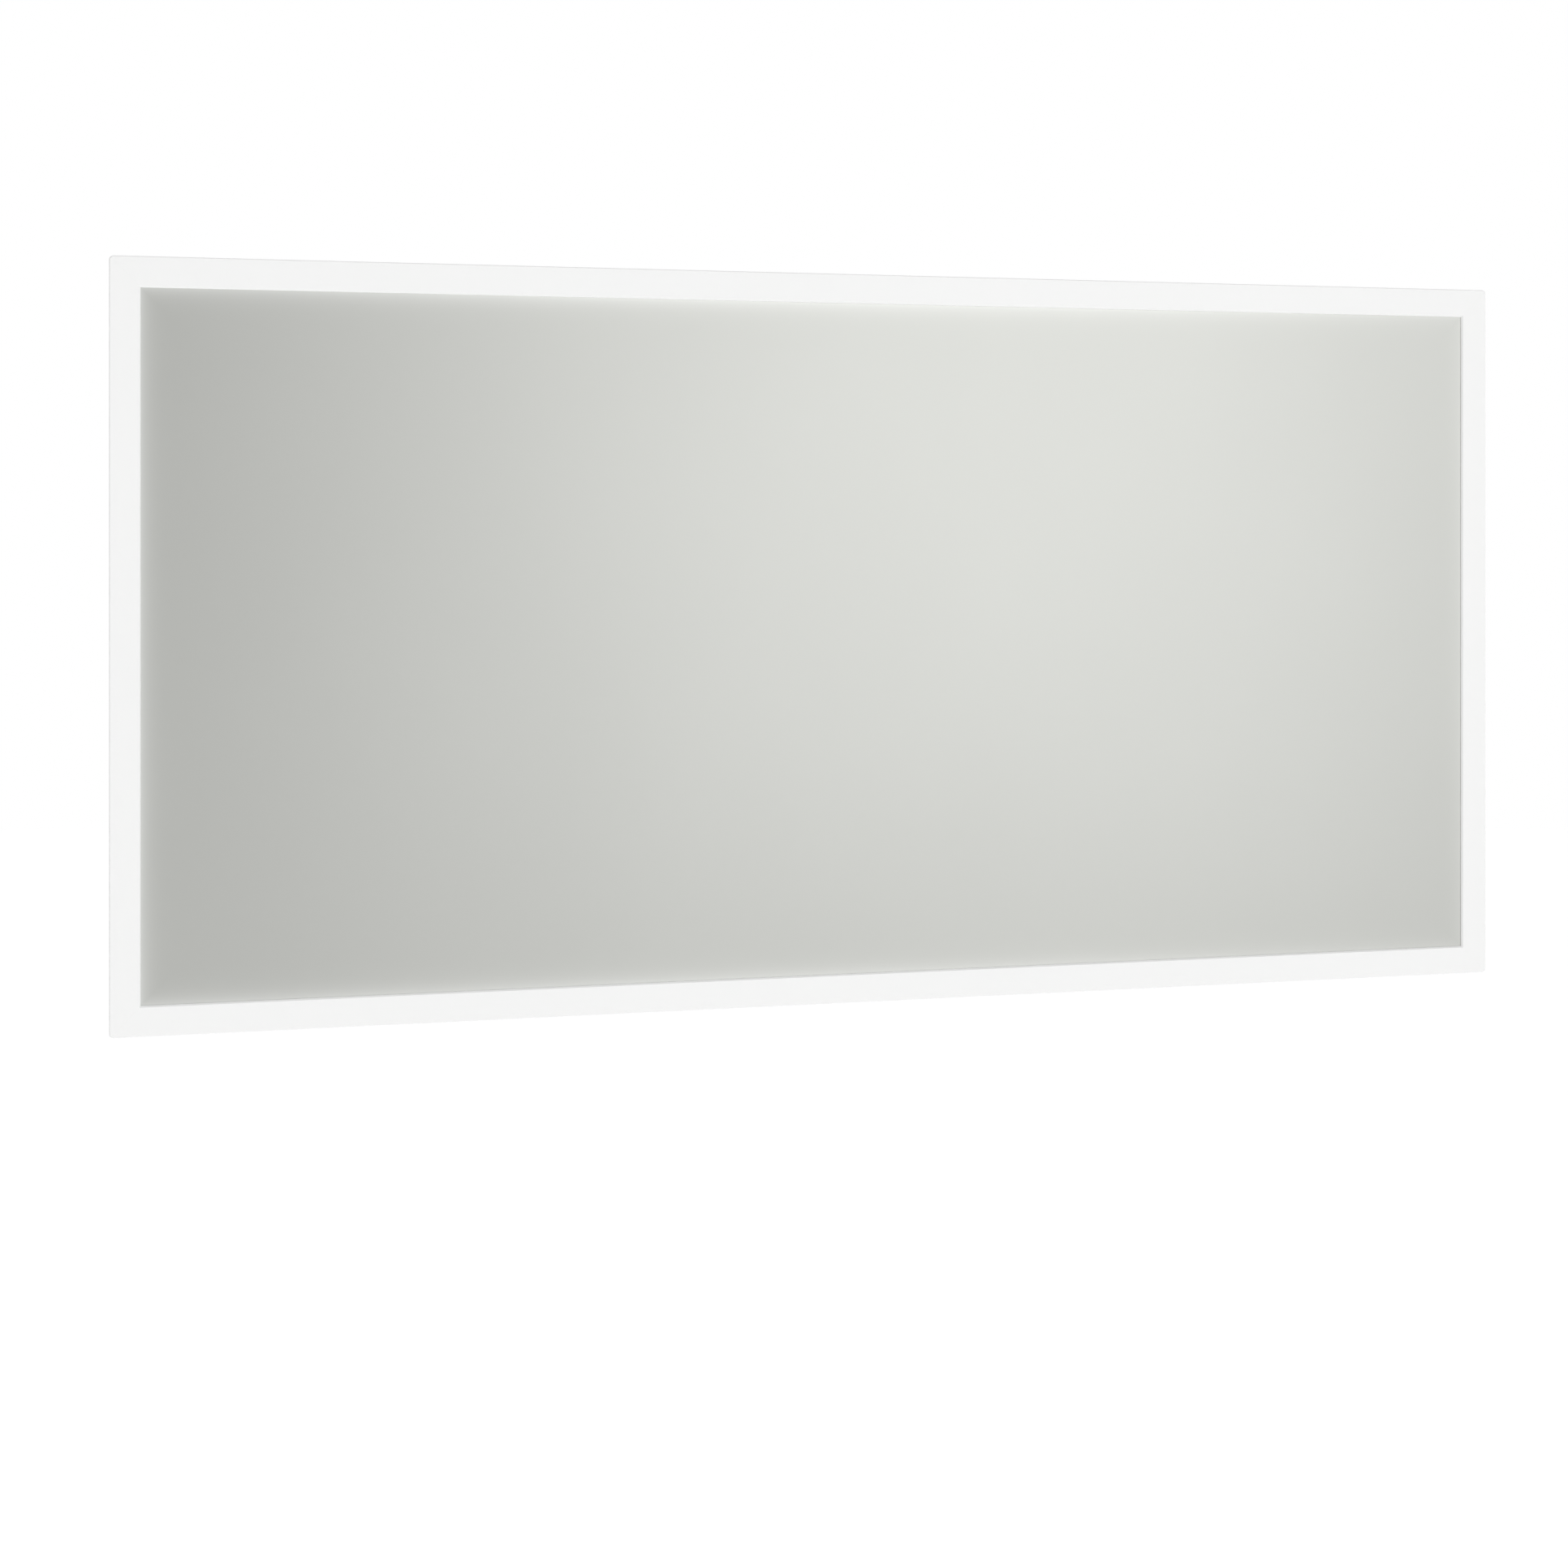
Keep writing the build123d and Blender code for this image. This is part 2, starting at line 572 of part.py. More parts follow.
def board_chips():
    """Controller, switching transistors and sense resistors."""
    chips = [
        (430.0, -392.0, 5.0, 6.2, 1.5),
        (418.0, -410.0, 6.5, 6.1, 2.3),
        (436.0, -410.0, 6.5, 6.1, 2.3),
        (470.0, -414.0, 3.2, 1.6, 0.6),
        (476.0, -414.0, 3.2, 1.6, 0.6),
    ]
    return Compound([
        block((x - w / 2, x + w / 2), (BOARD_BACK_Y, BOARD_BACK_Y + t), (z - h / 2, z + h / 2))
        for x, z, w, h, t in chips
    ])


def board_heat_sink():
    """Finned heat sink on the switching side of the board."""
    x, z, base_t = (476.0, 492.0), (-408.0, -388.0), 1.5
    sink = block(x, (BOARD_BACK_Y, BOARD_BACK_Y + base_t), z)
    fins, fin_t, fin_h = 6, 1.0, 6.0
    for i in range(fins):
        low = x[0] + i * (x[1] - x[0] - fin_t) / (fins - 1)
        sink += block((low, low + fin_t), (BOARD_BACK_Y, BOARD_BACK_Y + fin_h), z)
    return sink


def board_terminals():
    """Terminal blocks at the top, bottom and right-hand edges of the board."""
    deep, half, screw_r, recess = 9.0, 5.0, 1.6, 1.2
    y = (BOARD_BACK_Y, BOARD_BACK_Y + 6.2)
    screws = [(STRIP_TERMINAL_X, BOARD_Z[1] - deep / 2), (STRIP_TERMINAL_X, BOARD_Z[0] + deep / 2)]
    screws += [(BOARD_X[1] - deep / 2, z) for z in (JACK_TERMINAL_Z, BOARD_MID_Z, SWITCH_Z)]
    strip_x = (STRIP_TERMINAL_X - half, STRIP_TERMINAL_X + half)
    side_z = (JACK_TERMINAL_Z - deep * 2 / 3, SWITCH_Z + deep * 2 / 3)
    blocks = [
        block(strip_x, y, (BOARD_Z[1] - deep, BOARD_Z[1])),
        block(strip_x, y, (BOARD_Z[0], BOARD_Z[0] + deep)),
        block((BOARD_X[1] - deep, BOARD_X[1]), y, side_z),
    ]
    made = []
    for one in blocks:
        one = fillet(one.edges().filter_by(Axis.Y), 0.5)
        for x, z in screws:
            one -= rod(screw_r, (x, y[1] - recess, z), (x, y[1] + THROUGH, z))
        made.append(one)
    return Compound(made)


# ---- leads ----
def strip_lead(edge_z, turn_z, end_z):
    """A lead from the end of a light strip, through the notch, to the board's edge."""
    points = [
        (LED_BOARD_END_X, GUIDE_MID_Y, edge_z),
        (LEAD_X, GUIDE_MID_Y, edge_z),
        (LEAD_X, BAY_MID_Y, edge_z),
        (LEAD_X, BAY_MID_Y, turn_z),
        (STRIP_TERMINAL_X, BAY_MID_Y, turn_z),
        (STRIP_TERMINAL_X, BAY_MID_Y, end_z),
    ]
    return lead(points, [3.0, 5.0, 10.0, 6.0])


STRIP_LEAD_Z = TOP - FRAME_T - TAPE_T - LED_BOARD_T


def led_lead_top():
    return strip_lead(STRIP_LEAD_Z, -355.0, BOARD_Z[1])


def led_lead_bottom():
    return strip_lead(2 * MID_Z - STRIP_LEAD_Z, -500.0, BOARD_Z[0])


def lead_clips():
    """Saddles that hold the long lead on the inner plate."""
    half_x, half_z = 5.0, 3.0
    clip = block((LEAD_X - half_x, LEAD_X + half_x), (PLATE_BACK_Y, BAY_MID_Y + 2.4), (-half_z, half_z))
    clip = chamfer(clip.edges().filter_by(Axis.Z).group_by(Axis.Y)[-1], 1.8)
    over = half_z + THROUGH
    clip -= rod(LEAD_R + THREAD_SLIP, (LEAD_X, BAY_MID_Y, -over), (LEAD_X, BAY_MID_Y, over))
    return Compound([Pos(0, 0, z) * clip for z in (0.0, -90.0, -180.0, -270.0)])


def switch_lead():
    start = (RIGHT - SWITCH_DEPTH - BLADE_LENGTH, BAY_MID_Y, SWITCH_Z)
    return rod(LEAD_R, start, (BOARD_X[1], BAY_MID_Y, SWITCH_Z))


def dimmer_lead():
    run_x = 568.0
    points = [
        (DIMMER_BODY_X[0], BAY_MID_Y, DIMMER_Z),
        (run_x, BAY_MID_Y, DIMMER_Z),
        (run_x, BAY_MID_Y, BOARD_MID_Z),
        (BOARD_X[1], BAY_MID_Y, BOARD_MID_Z),
    ]
    return lead(points, [9.0, 9.0])


def jack_lead():
    run_x = 545.0
    points = [
        (JACK_REAR_X, BAY_MID_Y, JACK_Z),
        (run_x, BAY_MID_Y, JACK_Z),
        (run_x, BAY_MID_Y, JACK_TERMINAL_Z),
        (BOARD_X[1], BAY_MID_Y, JACK_TERMINAL_Z),
    ]
    return lead(points, [12.0, 7.0])


# ---- power switch ----
def switch_body():
    """Snap-in switch housing with a bezel outside the rail and a well for the rocker."""
    half_y, half_z = SWITCH_HALF
    bezel_z, well_z, bezel_t = 10.8, 7.6, 1.6
    body = block((RIGHT - SWITCH_DEPTH, RIGHT), across_bay(half_y), (SWITCH_Z - half_z, SWITCH_Z + half_z))
    bezel = block((RIGHT, RIGHT + bezel_t), across_bay(5.4), (SWITCH_Z - bezel_z, SWITCH_Z + bezel_z))
    bezel = fillet(bezel.edges().filter_by(Axis.X), 1.5)
    bezel = chamfer(bezel.faces().sort_by(Axis.X)[-1].edges(), 0.5)
    well_x = (RIGHT - 6.5, RIGHT + bezel_t + THROUGH)
    well = block(well_x, across_bay(3.4), (SWITCH_Z - well_z, SWITCH_Z + well_z))
    trunnion_hole = rod(1.0 + THREAD_SLIP, *across_switch(4.15))
    return body + bezel - well - trunnion_hole


def switch_rocker():
    """Rocker with a shallow V across its face and moulded trunnions, tilted to off."""
    reach, width, under, valley, rim, half = 7.2, 6.2, -2.2, 2.6, 3.72, 8.0
    points = [(under, -half), (under, half), (rim, half), (valley, 0), (rim, -half)]
    profile = Polyline(*points, close=True)
    plane = Plane((ROCKER_PIVOT_X, BAY_MID_Y, SWITCH_Z), x_dir=(1, 0, 0), z_dir=(0, -1, 0))
    rocker = extrude(plane * make_face(profile), width / 2, both=True)
    rocker &= rod(reach, *across_switch(width / 2))
    rocker += rod(1.0, *across_switch(4.0))
    pivot = Pos(ROCKER_PIVOT_X, 0, SWITCH_Z)
    return pivot * Rot(0, ROCKER_REST_TILT, 0) * Pos(-ROCKER_PIVOT_X, 0, -SWITCH_Z) * rocker


def across_switch(half):
    """Both ends of a line on the rocker's pivot."""
    return [(ROCKER_PIVOT_X, BAY_MID_Y + side * half, SWITCH_Z) for side in (-1, 1)]


def switch_blades():
    """Two tab terminals behind the switch."""
    rear = RIGHT - SWITCH_DEPTH
    blade = block((rear - BLADE_LENGTH, rear), across_bay(1.6), (SWITCH_Z - 0.4, SWITCH_Z + 0.4))
    return Compound([Pos(0, 0, z) * blade for z in (-3.5, 3.5)])


# ---- dimmer ----
DIMMER_BODY_X = (RIGHT - FRAME_T - 7.0, RIGHT - FRAME_T)
SHAFT_R = 1.5
SHAFT_END_X = RIGHT + 7.0


def dimmer_body():
    """Potentiometer housing with its threaded bush through the rail."""
    half_z, bush_end = 5.5, RIGHT + 2.4
    case = block(DIMMER_BODY_X, across_bay(4.3), (DIMMER_Z - half_z, DIMMER_Z + half_z))
    case = fillet(case.edges().filter_by(Axis.X), 1.0)
    bush = dimmer_rod(BUSH_R, DIMMER_BODY_X[1] - THROUGH, bush_end)
    bore = dimmer_rod(SHAFT_R + THREAD_SLIP, DIMMER_BODY_X[0] + 1.5, bush_end + THROUGH)
    return case + bush - bore


def dimmer_rod(radius, start_x, end_x):
    """A cylinder on the axis that the dimmer turns about."""
    return rod(radius, (start_x, BAY_MID_Y, DIMMER_Z), (end_x, BAY_MID_Y, DIMMER_Z))


def dimmer_nut():
    nut = hex_nut(8.0, 1.6, BUSH_R + THREAD_SLIP)
    return Pos(RIGHT, BAY_MID_Y, DIMMER_Z) * Rot(0, 90, 0) * nut


def dimmer_shaft():
    return dimmer_rod(SHAFT_R, DIMMER_BODY_X[0] + 2.0, SHAFT_END_X)


def dimmer_knob():
    """Grooved knob, hollow over the bush and nut, with a pointer line on its end."""
    radius, back, front = 6.0, RIGHT + 0.5, RIGHT + 8.5
    knob = fillet(dimmer_rod(radius, back, front).edges().sort_by(Axis.X)[-1], 0.8)
    knob -= dimmer_rod(5.0, back - THROUGH, RIGHT + 3.2)
    knob -= dimmer_rod(SHAFT_R, back, SHAFT_END_X)
    centre = Pos(0, BAY_MID_Y, DIMMER_Z)
    grooves, groove_r, groove_at = 24, 0.42, radius + 0.12
    groove = rod(groove_r, (back + 1.2, 0, groove_at), (front - 1.4, 0, groove_at))
    for i in range(grooves):
        knob -= centre * Rot(i * 360 / grooves, 0, 0) * groove
    knob -= centre * block((front - 0.5, front + THROUGH), (-0.4, 0.4), (1.5, radius + THROUGH))
    return knob


# ---- power inlet ----
JACK_REAR_X = RIGHT - 14.0
JACK_PIN_R = 1.0


def jack_shell():
    """Threaded barrel of the low-voltage inlet, flanged outside the rail."""
    flange_t, shell_rear, barrel_rear = 1.4, RIGHT - 11.0, RIGHT - 9.5
    shell = jack_rod(JACK_R, shell_rear, RIGHT)
    flange = jack_rod(5.4, RIGHT, RIGHT + flange_t)
    flange = fillet(flange.edges().sort_by(Axis.X)[-1], 0.5)
    barrel = jack_rod(2.8, barrel_rear, RIGHT + flange_t + THROUGH)
    pin_seat = jack_rod(JACK_PIN_R + THREAD_SLIP, shell_rear - THROUGH, RIGHT)
    return shell + flange - barrel - pin_seat


def jack_rod(radius, start_x, end_x):
    """A cylinder on the axis of the inlet."""
    return rod(radius, (start_x, BAY_MID_Y, JACK_Z), (end_x, BAY_MID_Y, JACK_Z))


def jack_pin():
    pin = jack_rod(JACK_PIN_R, JACK_REAR_X, RIGHT - 0.8)
    return fillet(pin.edges().sort_by(Axis.X)[-1], 0.6)


def jack_nut():
    thickness = 2.0
    nut = hex_nut(9.0, thickness, JACK_R + THREAD_SLIP)
    return Pos(RIGHT - FRAME_T - thickness, BAY_MID_Y, JACK_Z) * Rot(0, 90, 0) * nut


# ---- assembly ----
def all_parts():
    """Every sub-part by its node name."""
    tape = strip_layer(0, TAPE_T)
    led_bar = strip_layer(TAPE_T, LED_BOARD_T)
    leds = led_row()
    parts = frame_rails()
    parts.update({
        "corner_keys": corner_keys(),
        "corner_key_screws": corner_key_screws(),
        "front_gasket": band(WINDOW_INSET - GASKET_W, WINDOW_INSET, FLANGE_BACK_Y, FACE_FRONT_Y),
        "work_surface": slab(FACE_INSET, FACE_INSET, FACE_FRONT_Y, FACE_BACK_Y, 2.0),
        "face_setting_blocks": face_setting_blocks(),
        "diffuser_sheet": slab(DIFFUSER_INSET, DIFFUSER_INSET, FACE_BACK_Y, GUIDE_FRONT_Y),
        "light_guide": slab(GUIDE_INSET_X, GUIDE_INSET_Z, GUIDE_FRONT_Y, GUIDE_BACK_Y),
        "light_guide_stops": light_guide_stops(),
        "reflector_sheet": slab(GUIDE_INSET_X, GUIDE_INSET_Z, GUIDE_BACK_Y, FOAM_FRONT_Y),
        "foam_pad": slab(7.0, 7.0, FOAM_FRONT_Y, PLATE_FRONT_Y),
        "inner_plate": inner_plate(),
        "thermal_tapes": Compound([tape, mirrored_down(tape)]),
        "led_bar_top": led_bar,
        "led_bar_bottom": mirrored_down(led_bar),
        "leds_top": leds,
        "leds_bottom": mirrored_down(leds),
        "back_cover": back_cover(),
        "cover_screws": cover_screws(),
        "rubber_feet": rubber_feet(),
        "foot_screws": foot_screws(),
        "foot_nuts": foot_nuts(),
        "wall_rail": wall_rail(),
        "hanger_rail": hanger_rail(),
        "hanger_backing_bar": hanger_backing_bar(),
        "hanger_screws": hanger_screws(),
        "driver_board": driver_board(),
        "board_standoffs": board_standoffs(),
        "board_screws": board_screws(),
        "board_inductors": board_inductors(),
        "board_capacitors": board_capacitors(),
        "board_chips": board_chips(),
        "board_heat_sink": board_heat_sink(),
        "board_terminals": board_terminals(),
        "led_lead_top": led_lead_top(),
        "led_lead_bottom": led_lead_bottom(),
        "lead_clips": lead_clips(),
        "switch_body": switch_body(),
        "switch_rocker": switch_rocker(),
        "switch_blades": switch_blades(),
        "switch_lead": switch_lead(),
        "dimmer_body": dimmer_body(),
        "dimmer_nut": dimmer_nut(),
        "dimmer_shaft": dimmer_shaft(),
        "dimmer_knob": dimmer_knob(),
        "dimmer_lead": dimmer_lead(),
        "jack_shell": jack_shell(),
        "jack_pin": jack_pin(),
        "jack_nut": jack_nut(),
        "jack_lead": jack_lead(),
    })
    return parts


os.makedirs("parts", exist_ok=True)
for name, shape in all_parts().items():
    export_step(shape, f"parts/{name}.step")
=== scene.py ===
import json
import math

import bmesh
import bpy
from mathutils import Matrix, Vector


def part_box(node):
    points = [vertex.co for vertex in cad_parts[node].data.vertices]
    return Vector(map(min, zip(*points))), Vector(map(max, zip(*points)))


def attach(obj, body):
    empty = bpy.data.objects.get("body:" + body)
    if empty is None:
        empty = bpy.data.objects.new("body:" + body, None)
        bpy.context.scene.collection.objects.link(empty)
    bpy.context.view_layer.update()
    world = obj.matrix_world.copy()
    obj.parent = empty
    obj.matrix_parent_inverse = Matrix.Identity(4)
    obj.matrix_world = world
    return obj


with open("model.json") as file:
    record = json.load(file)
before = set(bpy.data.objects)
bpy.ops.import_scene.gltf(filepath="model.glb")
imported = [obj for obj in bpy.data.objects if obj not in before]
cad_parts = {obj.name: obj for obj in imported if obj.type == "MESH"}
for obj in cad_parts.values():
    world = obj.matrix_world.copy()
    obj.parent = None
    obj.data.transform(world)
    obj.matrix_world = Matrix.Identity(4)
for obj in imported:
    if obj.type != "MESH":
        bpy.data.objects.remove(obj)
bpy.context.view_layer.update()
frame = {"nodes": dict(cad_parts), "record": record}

MM = 0.001


# ---- places, read from the frame ----
def joined_box(*nodes):
    """Lowest and highest corner of several CAD nodes together."""
    boxes = [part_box(n) for n in nodes]
    low = Vector(map(min, *(b[0] for b in boxes)))
    high = Vector(map(max, *(b[1] for b in boxes)))
    return low, high


RAILS = ["frame_rail_top", "frame_rail_bottom", "frame_rail_left", "frame_rail_right"]
FRAME_LOW, FRAME_HIGH = joined_box(*RAILS)
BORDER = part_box("frame_rail_top")[1].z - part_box("frame_rail_top")[0].z
MIDDLE = (FRAME_LOW + FRAME_HIGH) / 2
HALF_WIDTH = (FRAME_HIGH.x - FRAME_LOW.x) / 2
HALF_HEIGHT = (FRAME_HIGH.z - FRAME_LOW.z) / 2
WINDOW_HALF_X = HALF_WIDTH - BORDER
WINDOW_HALF_Z = HALF_HEIGHT - BORDER


# ---- camera ----
def make_camera():
    """A level camera beyond the panel's left end, turned towards its right end."""
    turn = math.radians(19.11)
    beyond_left, before, under_top = 0.374, 2.657, 0.207
    data = bpy.data.cameras.new("camera")
    data.sensor_width = 36.0
    data.lens = 78.97
    data.shift_y = -0.1648
    data.clip_end = 100.0
    camera = bpy.data.objects.new("camera", data)
    camera.location = (FRAME_LOW.x - beyond_left, FRAME_LOW.y - before, FRAME_HIGH.z - under_top)
    camera.rotation_euler = (math.pi / 2, 0, -turn)
    bpy.context.scene.collection.objects.link(camera)
    bpy.context.scene.camera = camera


# ---- node helpers ----
def add(tree, kind, inputs=None, **settings):
    """A new node, with its settings, and its inputs either linked or set."""
    made = tree.nodes.new(kind)
    for key, value in settings.items():
        setattr(made, key, value)
    for socket, value in (inputs or {}).items():
        if isinstance(value, bpy.types.NodeSocket):
            tree.links.new(value, made.inputs[socket])
        else:
            made.inputs[socket].default_value = value
    return made


def start_material(name, colour, roughness, metallic=0.0):
    """A Principled material with plain starting values; returns (material, tree, shader)."""
    made = bpy.data.materials.new(name)
    made.use_nodes = True
    made.diffuse_color = (*colour, 1)
    tree = made.node_tree
    shader = tree.nodes["Principled BSDF"]
    shader.inputs["Base Color"].default_value = (*colour, 1)
    shader.inputs["Roughness"].default_value = roughness
    shader.inputs["Metallic"].default_value = metallic
    return made, tree, shader


def object_place(tree):
    """The socket that gives a point's place in the row frame."""
    return add(tree, "ShaderNodeTexCoord").outputs["Object"]


def stretched(tree, place, scale):
    """A place with each of its axes scaled."""
    return add(tree, "ShaderNodeMapping", {"Vector": place, "Scale": scale}).outputs[0]


def noise(tree, place, size, detail=2.0):
    """A noise from 0 to 1 with features of about the given size in metres."""
    made = add(tree, "ShaderNodeTexNoise", {"Vector": place, "Scale": 1 / size, "Detail": detail})
    return made.outputs["Fac"]


def cells(tree, place, size):
    """A Voronoi texture whose cells have about the given size in metres."""
    return add(tree, "ShaderNodeTexVoronoi", {"Vector": place, "Scale": 1 / size})


def spread(tree, value, low, high, start=0.3, end=0.7):
    """Value's range start..end mapped to low..high, and held there beyond it."""
    inputs = {"Value": value, "From Min": start, "From Max": end, "To Min": low, "To Max": high}
    return add(tree, "ShaderNodeMapRange", inputs).outputs["Result"]


def mixed(tree, factor, first, second):
    """A colour between first and second, each of them a socket or a colour."""
    mix = add(tree, "ShaderNodeMix", {"Factor": factor}, data_type="RGBA")
    for name, colour in (("A", first), ("B", second)):
        if isinstance(colour, bpy.types.NodeSocket):
            tree.links.new(colour, mix.inputs[name])
        else:
            mix.inputs[name].default_value = (*colour, 1)
    return mix.outputs["Result"]


def maths(tree, operation, first, second=0.0):
    """One arithmetic step on sockets or numbers."""
    return add(tree, "ShaderNodeMath", {0: first, 1: second}, operation=operation).outputs[0]


def below(tree, value, limit, softness):
    """1 where value is under limit, falling to 0 over softness."""
    return spread(tree, value, 1.0, 0.0, limit - softness / 2, limit + softness / 2)


def bump(tree, shader, height, distance, strength=1.0):
    """Adds relief to a shader."""
    made = add(tree, "ShaderNodeBump", {"Height": height, "Distance": distance, "Strength": strength})
    tree.links.new(made.outputs["Normal"], shader.inputs["Normal"])


def paint(tree, shader, colour):
    tree.links.new(colour, shader.inputs["Base Color"])


def roughen(tree, shader, value):
    tree.links.new(value, shader.inputs["Roughness"])


def scaled(colour, factor):
    return tuple(min(1.0, c * factor) for c in colour)


def from_middle(tree, place):
    """How far a point is from the panel's middle, across and up, as two sockets."""
    parts = add(tree, "ShaderNodeSeparateXYZ", {0: place})
    across = maths(tree, "ABSOLUTE", parts.outputs["X"])
    up = maths(tree, "ABSOLUTE", maths(tree, "SUBTRACT", parts.outputs["Z"], MIDDLE.z))
    return across, up


# ---- studio ----
FLOOR_DROP = 1.05  # from the panel's lower edge to the floor
FLOOR_RADIUS = 14.0


def make_floor():
    """A wide white disc under the panel, bright enough to run into the backdrop."""
    mesh = bpy.data.meshes.new("studio_floor")
    form = bmesh.new()
    bmesh.ops.create_circle(form, cap_ends=True, segments=96, radius=FLOOR_RADIUS)
    form.to_mesh(mesh)
    form.free()
    floor = bpy.data.objects.new("studio_floor", mesh)
    floor.location = (MIDDLE.x, MIDDLE.y, FRAME_LOW.z - FLOOR_DROP)
    bpy.context.scene.collection.objects.link(floor)
    coat = bpy.data.materials.new("studio_floor")
    coat.use_nodes = True
    shader = coat.node_tree.nodes["Principled BSDF"]
    shader.inputs["Base Color"].default_value = (0.9, 0.9, 0.9, 1)
    shader.inputs["Roughness"].default_value = 0.9
    shader.inputs["Emission Color"].default_value = (1, 1, 1, 1)
    shader.inputs["Emission Strength"].default_value = 0.5
    mesh.materials.append(coat)


def make_world(backdrop, ambient, slope, least, behind):
    """A white backdrop for the camera, over a dimmer light that varies with its direction.

    The light is ambient plus slope along its direction, but never under least, and falls to
    the share behind at the back of the panel.
    """
    world = bpy.data.worlds.new("studio")
    world.use_nodes = True
    tree = world.node_tree
    tree.nodes.clear()
    seen = add(tree, "ShaderNodeBackground", {"Color": (1, 1, 1, 1), "Strength": backdrop})
    way = add(tree, "ShaderNodeTexCoord").outputs["Generated"]
    tilt = add(tree, "ShaderNodeVectorMath", {0: way, 1: slope}, operation="DOT_PRODUCT").outputs["Value"]
    depth = add(tree, "ShaderNodeSeparateXYZ", {0: way}).outputs["Y"]
    level = maths(tree, "MAXIMUM", maths(tree, "ADD", tilt, ambient), least)
    level = maths(tree, "MULTIPLY", level, spread(tree, depth, 1.0, behind, 0.0, 1.0))
    light = add(tree, "ShaderNodeBackground", {"Color": (1, 1, 1, 1), "Strength": level})
    path = add(tree, "ShaderNodeLightPath")
    mix = add(tree, "ShaderNodeMixShader", {0: path.outputs["Is Camera Ray"]})
    tree.links.new(light.outputs[0], mix.inputs[1])
    tree.links.new(seen.outputs[0], mix.inputs[2])
    add(tree, "ShaderNodeOutputWorld", {"Surface": mix.outputs[0]})
    bpy.context.scene.world = world


def soft_box(name, place, aim, width, height, radiance):
    """A rectangular soft light, hidden from the camera, of a given brightness per area."""
    data = bpy.data.lights.new(name, "AREA")
    data.shape = "RECTANGLE"
    data.size = width
    data.size_y = height
    data.energy = radiance * math.pi * width * height
    lamp = bpy.data.objects.new(name, data)
    lamp.location = place
    lamp.rotation_euler = (Vector(aim) - Vector(place)).to_track_quat("-Z", "Y").to_euler()
    lamp.visible_camera = False
    bpy.context.scene.collection.objects.link(lamp)


# ---- materials ----
def white_coat(name):
    """Satin powder coat on the rails, with a faint hairline at each mitre."""
    white = (0.840, 0.842, 0.838)
    made, tree, shader = start_material(name, white, 0.45)
    place = object_place(tree)
    across, up = from_middle(tree, place)
    off_mitre = maths(tree, "SUBTRACT", across, maths(tree, "ADD", up, HALF_WIDTH - HALF_HEIGHT))
    hairline = below(tree, maths(tree, "ABSOLUTE", off_mitre), 0.03 * MM, 0.03 * MM)
    drift = mixed(tree, noise(tree, place, 0.12, 3.0), scaled(white, 0.985), white)
    paint(tree, shader, mixed(tree, hairline, drift, (0.72, 0.72, 0.71)))
    grain = noise(tree, place, 1.1 * MM, 3.0)
    roughen(tree, shader, spread(tree, grain, 0.40, 0.54))
    relief = maths(tree, "SUBTRACT", maths(tree, "MULTIPLY", grain, 0.4), hairline)
    bump(tree, shader, relief, 0.06 * MM, 0.4)
    return made


def opal_face(name):
    """The unlit face: satin grey opal with a painted glow along its edges, strongest at the left: its colour
    is painted lighter where light from the white border would fall.

    Its metallic share isn't opal's. It makes the grey mirror the lights' gradient across the face.
    """
    grey, pale = (0.444, 0.449, 0.429), (0.80, 0.81, 0.79)
    made, tree, shader = start_material(name, grey, 0.396, 0.871)
    place = object_place(tree)
    across, up = from_middle(tree, place)
    from_side = maths(tree, "SUBTRACT", WINDOW_HALF_X, across)
    from_rail = maths(tree, "SUBTRACT", WINDOW_HALF_Z, up)
    nearest = maths(tree, "MINIMUM", from_side, from_rail)
    # painted glow: the base colour turns pale near the window's edges, standing in for light from the border
    painted_glow = maths(tree, "EXPONENT", maths(tree, "DIVIDE", nearest, -6 * MM))
    along = add(tree, "ShaderNodeSeparateXYZ", {0: place}).outputs["X"]
    # the painted glow is made stronger at the left than at the right
    strength = spread(tree, along, 0.46, 0.14, -WINDOW_HALF_X, WINDOW_HALF_X)
    cloud = noise(tree, place, 0.2, 2.0)
    body = mixed(tree, cloud, scaled(grey, 0.98), scaled(grey, 1.02))
    paint(tree, shader, mixed(tree, maths(tree, "MULTIPLY", painted_glow, strength), body, pale))
    bump(tree, shader, noise(tree, place, 0.7 * MM, 2.0), 0.02 * MM, 0.15)
    return made


def cover_coat(name):
    """Textured grey coat on the back cover, with faint handling marks."""
    tone = (0.52, 0.525, 0.52)
    made, tree, shader = start_material(name, tone, 0.55)
    place = object_place(tree)
    smear = noise(tree, stretched(tree, place, (1, 1, 2.5)), 0.14, 5.0)
    paint(tree, shader, mixed(tree, smear, scaled(tone, 0.93), scaled(tone, 1.03)))
    grain = noise(tree, place, 1.6 * MM, 4.0)
    roughen(tree, shader, spread(tree, grain, 0.5, 0.68))
    bump(tree, shader, grain, 0.12 * MM, 0.6)
    return made


